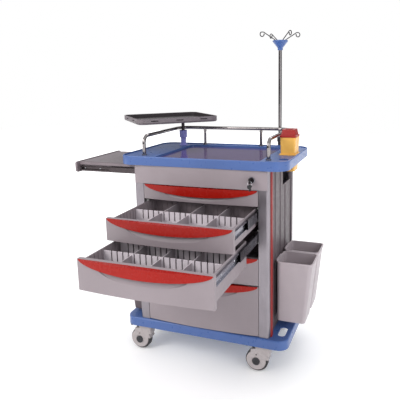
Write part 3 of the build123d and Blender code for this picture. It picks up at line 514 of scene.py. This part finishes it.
def drawer_ball_cages(number):
    """Pressed cage strips that run inside the middle slide members, with a row of windows for the balls."""
    low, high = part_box(f"drawer_{number}_mid_rails")
    middle, height = (low + high) / 2, (low.z + high.z) / 2
    web = (high.x - low.x) / 2 - CAGE_WEB * MM
    cage = CAGE_LENGTH * MM
    bm = bmesh.new()
    for side in SIDES:
        x = middle.x + side * web
        for edge in SIDES:
            z = height + edge * 10 * MM
            add_block(bm, (x - 0.4 * MM, middle.y - cage / 2, z - 1.5 * MM),
                      (x + 0.4 * MM, middle.y + cage / 2, z + 1.5 * MM))
        for i in range(CAGE_WINDOWS):
            y = middle.y - cage / 2 + (i + 0.5) * cage / CAGE_WINDOWS
            add_block(bm, (x - 0.4 * MM, y - 3 * MM, height - 8.5 * MM),
                      (x + 0.4 * MM, y + 3 * MM, height + 8.5 * MM))
    piece(f"drawer_{number}_ball_cages", bm, f"drawer_{number}_slide", "bright")


def slide_stops():
    """White nylon stops behind the front edge of each column, above the drawer slides."""
    bm = bmesh.new()
    for number in DRAWERS:
        low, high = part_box(f"drawer_{number}_inner_rails")
        height = (low.z + high.z) / 2
        for side in SIDES:
            xs = sorted((side * 250, side * 261.8))
            near, far = spot(xs[0], -205, 0), spot(xs[1], -196, 0)
            add_block(bm, (near.x, near.y, height + 23 * MM), (far.x, far.y, height + 29 * MM))
            add_block(bm, (near.x, near.y, height - 29 * MM), (far.x, far.y, height - 23 * MM))
    piece("slide_stops", bm, "root", "nylon", bevel=0.8 * MM)


# ---------------------------------------------------------------- lock and keys
def key_outline(bow, shank, half):
    """Flat key seen from the side: a round bow, a shank with teeth along one edge."""
    points = []
    for i in range(25):
        angle = math.radians(-62 + i * (360 - 56) / 24 + 180)
        points.append((bow * math.cos(angle), bow * math.sin(angle)))
    steps = 7
    for i in range(steps + 1):
        reach = -bow * 0.9 - shank * i / steps
        tooth = half if i % 2 else 0.45 * half
        points.append((reach, tooth))
    points.append((-bow * 0.9 - shank - half, 0.0))
    points.append((-bow * 0.9 - shank, -half))
    return points


def lock_details():
    """Zinc-plated rim on the lock, and a ring with two spare keys on the key that stands in it."""
    low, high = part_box("lock_key")
    x = (low.x + high.x) / 2
    height = spot(0, 0, LOCK_HEIGHT).z
    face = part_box("front_fascia")[0].y
    bm = bmesh.new()
    add_ring(bm, (x, face + 1.2 * MM, height), (0, 1, 0), 12 * MM, 1.4 * MM)
    piece("lock_rim", bm, "root", "zinc")
    bow_y = low.y + 11 * MM
    bm = bmesh.new()
    add_ring(bm, (x, bow_y, height - 9 * MM), (0, 1, 0), 9 * MM, 0.8 * MM)
    piece("key_ring", bm, "lock_key", "bright")
    upright = Matrix(((0, 1, 0), (0, 0, 1), (1, 0, 0))).to_4x4()
    spares = (("spare_key", "black", 18, 9), ("second_spare_key", "dark_zinc", -14, -14))
    for name, key, turn, lean in spares:
        bm = bmesh.new()
        add_slab(bm, key_outline(9.5 * MM, 7 * MM, 3 * MM), -1.2 * MM, 1.2 * MM)
        hang = Matrix.Translation((x + lean * 0.16 * MM, bow_y - lean * 0.12 * MM, height - 23 * MM))
        twist = Matrix.Rotation(math.radians(turn), 4, "Z") @ Matrix.Rotation(math.radians(lean), 4, "Y")
        bm.transform(hang @ twist @ upright)
        piece(name, bm, "lock_key", key, bevel=0.3 * MM)


# ---------------------------------------------------------------- casters
def caster_details(corner):
    """Raised hub cap with a hexagon bolt on both faces of a wheel."""
    low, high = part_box(f"caster_{corner}_wheel")
    middle = (low + high) / 2
    cap = [(16 * MM, -0.5 * MM), (16 * MM, 0.6 * MM), (13 * MM, 1.6 * MM), (9 * MM, 1.2 * MM),
           (8 * MM, 0.4 * MM), (5 * MM, 0.4 * MM), (5 * MM, 0.0)]
    bm = bmesh.new()
    for side in SIDES:
        face = middle + Vector((0, side * (high.y - low.y) / 2, 0))
        add_turned(bm, face, (0, side, 0), cap + [(0, 0)])
        add_turned(bm, face, (0, side, 0), [(4.6 * MM, 0.0), (4.6 * MM, 1.4 * MM), (0, 1.4 * MM)], 6)
    piece(f"caster_{corner}_hub_caps", bm, f"caster_{corner}_wheel", "powder")


# ---------------------------------------------------------------- pole, sharps container and bins
def hook_beads():
    """Bead on the end of each wire hook, inside its loop."""
    low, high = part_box("iv_pole")
    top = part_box("iv_hooks")[1].z
    bm = bmesh.new()
    for i in range(4):
        angle = math.radians(HOOK_TURN + 90 * i)
        place = Vector(((low.x + high.x) / 2 + HOOK_BEAD_REACH * MM * math.cos(angle),
                        (low.y + high.y) / 2 + HOOK_BEAD_REACH * MM * math.sin(angle),
                        top - HOOK_BEAD_DROP * MM))
        bmesh.ops.create_icosphere(bm, subdivisions=3, radius=2.9 * MM, matrix=Matrix.Translation(place))
    piece("iv_hook_beads", bm, "iv_head", "wire")


def sleeve_wiper():
    """Rubber ring where the pole slides into its sleeve."""
    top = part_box("iv_sleeve")[1].z
    low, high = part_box("iv_pole")
    x, y = (low.x + high.x) / 2, (low.y + high.y) / 2
    bm = bmesh.new()
    ring = [(8.3 * MM, 0), (12.5 * MM, 0), (12.5 * MM, 2.5 * MM), (10.5 * MM, 4 * MM), (8.3 * MM, 4 * MM),
            (8.3 * MM, 0)]
    add_turned(bm, (x, y, top), (0, 0, 1), ring)
    piece("iv_sleeve_wiper", bm, "root", "black")


# ---------------------------------------------------------------- fixings of the body
def body_screws():
    """Domed screws round the rear panel."""
    low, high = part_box("rear_panel")
    bm = bmesh.new()
    for z in (0.04, 0.35, 0.65, 0.96):
        for x in (0.03, 0.97):
            place = Vector((low.x + x * (high.x - low.x), high.y - 3 * MM, low.z + z * (high.z - low.z)))
            add_turned(bm, place, (0, 1, 0), dome_screw(4.5 * MM, 2.2 * MM), 20)
    piece("rear_panel_screws", bm, "root", "bright")


work_surface_mat()
tray_liner()
shelf_details()
slide_stops()
for number in DRAWERS:
    drawer_screws(number)
    drawer_ball_cages(number)
lock_details()
for corner in CORNERS:
    caster_details(corner)
hook_beads()
sleeve_wiper()
body_screws()


# ---------------------------------------------------------------- camera, floor and light
def make_camera():
    """A 44 mm lens in front of the cart and to its right, 1.26 m above the floor."""
    place = spot(804.1, -2082.9, 1258.7)
    turn, down, roll = math.radians(21.0), math.radians(10.49), math.radians(-1.13)
    forward = Vector((-math.sin(turn) * math.cos(down), math.cos(turn) * math.cos(down), -math.sin(down)))
    level = Vector((math.cos(turn), math.sin(turn), 0))
    upright = level.cross(forward)
    right = level * math.cos(roll) + upright * math.sin(roll)
    up = upright * math.cos(roll) - level * math.sin(roll)
    data = bpy.data.cameras.new("camera")
    data.lens = 44.306
    data.shift_x = -0.0453
    data.shift_y = -0.0783
    camera = bpy.data.objects.new("camera", data)
    bpy.context.scene.collection.objects.link(camera)
    axes = Matrix((right, up, -forward)).transposed().to_4x4()
    camera.matrix_world = Matrix.Translation(place) @ axes
    bpy.context.scene.camera = camera


def area_light(name, place, target, size, watts, colour=(1.0, 1.0, 1.0)):
    data = bpy.data.lights.new(name, "AREA")
    data.size = size
    data.energy = watts
    data.color = colour
    light = bpy.data.objects.new(name, data)
    bpy.context.scene.collection.objects.link(light)
    light.location = place
    light.rotation_euler = (Vector(target) - Vector(place)).to_track_quat("-Z", "Y").to_euler()


def make_world():
    """White to the camera.  Polished parts see a dark band round the horizon under a bright ceiling."""
    world = bpy.data.worlds.new("studio")
    world.use_nodes = True
    tree = world.node_tree
    background = tree.nodes["Background"]
    height = tree.nodes.new("ShaderNodeSeparateXYZ")
    tree.links.new(tree.nodes.new("ShaderNodeTexCoord").outputs["Generated"], height.inputs["Vector"])
    ramp = tree.nodes.new("ShaderNodeValToRGB")
    tree.links.new(height.outputs["Z"], ramp.inputs["Fac"])
    bands = ramp.color_ramp
    bands.elements[0].position, bands.elements[0].color = 0.0, (0.2, 0.2, 0.21, 1)
    bands.elements[1].position, bands.elements[1].color = 1.0, (0.95, 0.95, 0.96, 1)
    for position, grey in ((0.18, 0.25), (0.34, 0.85)):
        band = bands.elements.new(position)
        band.color = (grey, grey, grey, 1)
    seen = tree.nodes.new("ShaderNodeLightPath").outputs["Is Camera Ray"]
    mixed = tree.nodes.new("ShaderNodeMix")
    mixed.data_type = "RGBA"
    tree.links.new(seen, mixed.inputs["Factor"])
    tree.links.new(ramp.outputs["Color"], mixed.inputs[6])
    mixed.inputs[7].default_value = (1.0, 1.0, 1.0, 1.0)
    tree.links.new(mixed.outputs[2], background.inputs["Color"])
    background.inputs["Strength"].default_value = 1.0
    bpy.context.scene.world = world


def make_studio():
    """Pale floor with painted light: it glows white, faintly near the cart and more strongly far off, so it
    fades into the white backdrop; and three broad soft lights.
    """
    bm = bmesh.new()
    half = 9.0
    outline = ((-half, -half), (half, -half), (half, half), (-half, half))
    bm.faces.new([bm.verts.new((x, y, 0)) for x, y in outline])
    mesh = bpy.data.meshes.new("floor")
    bm.to_mesh(mesh)
    bm.free()
    floor = bpy.data.objects.new("floor", mesh)
    bpy.context.scene.collection.objects.link(floor)
    s = Surface("floor")
    s.link(s.mix(s.spread(s.noise(3, 4.0), 0.0, 1.0), srgb(246, 246, 247), srgb(250, 250, 250)),
           s.shader.inputs["Base Color"])
    # Painted light: the floor glows white, at a strength of 0.16 within 1.2 m of the origin, rising to 0.9 at
    # 5 m.
    s.set(Roughness=0.7, Emission_Color=(1.0, 1.0, 1.0, 1.0))
    reach = s.node("ShaderNodeVectorMath", operation="LENGTH")
    s.link(s.place, reach.inputs[0])
    s.link(s.spread(reach.outputs["Value"], 0.16, 0.9, 1.2, 5.0), s.shader.inputs["Emission Strength"])
    mesh.materials.append(s.material)
    make_world()
    middle = (0.0, 0.0, 0.6)
    area_light("key", (-1.6, -2.4, 2.6), middle, 1.6, 60, (1.0, 0.98, 0.96))
    area_light("fill", (2.6, -1.6, 1.6), middle, 2.0, 25, (0.95, 0.97, 1.0))
    area_light("back", (0.6, 2.4, 2.8), middle, 2.0, 30)
    bpy.context.scene.view_settings.view_transform = "Standard"


make_camera()
make_studio()
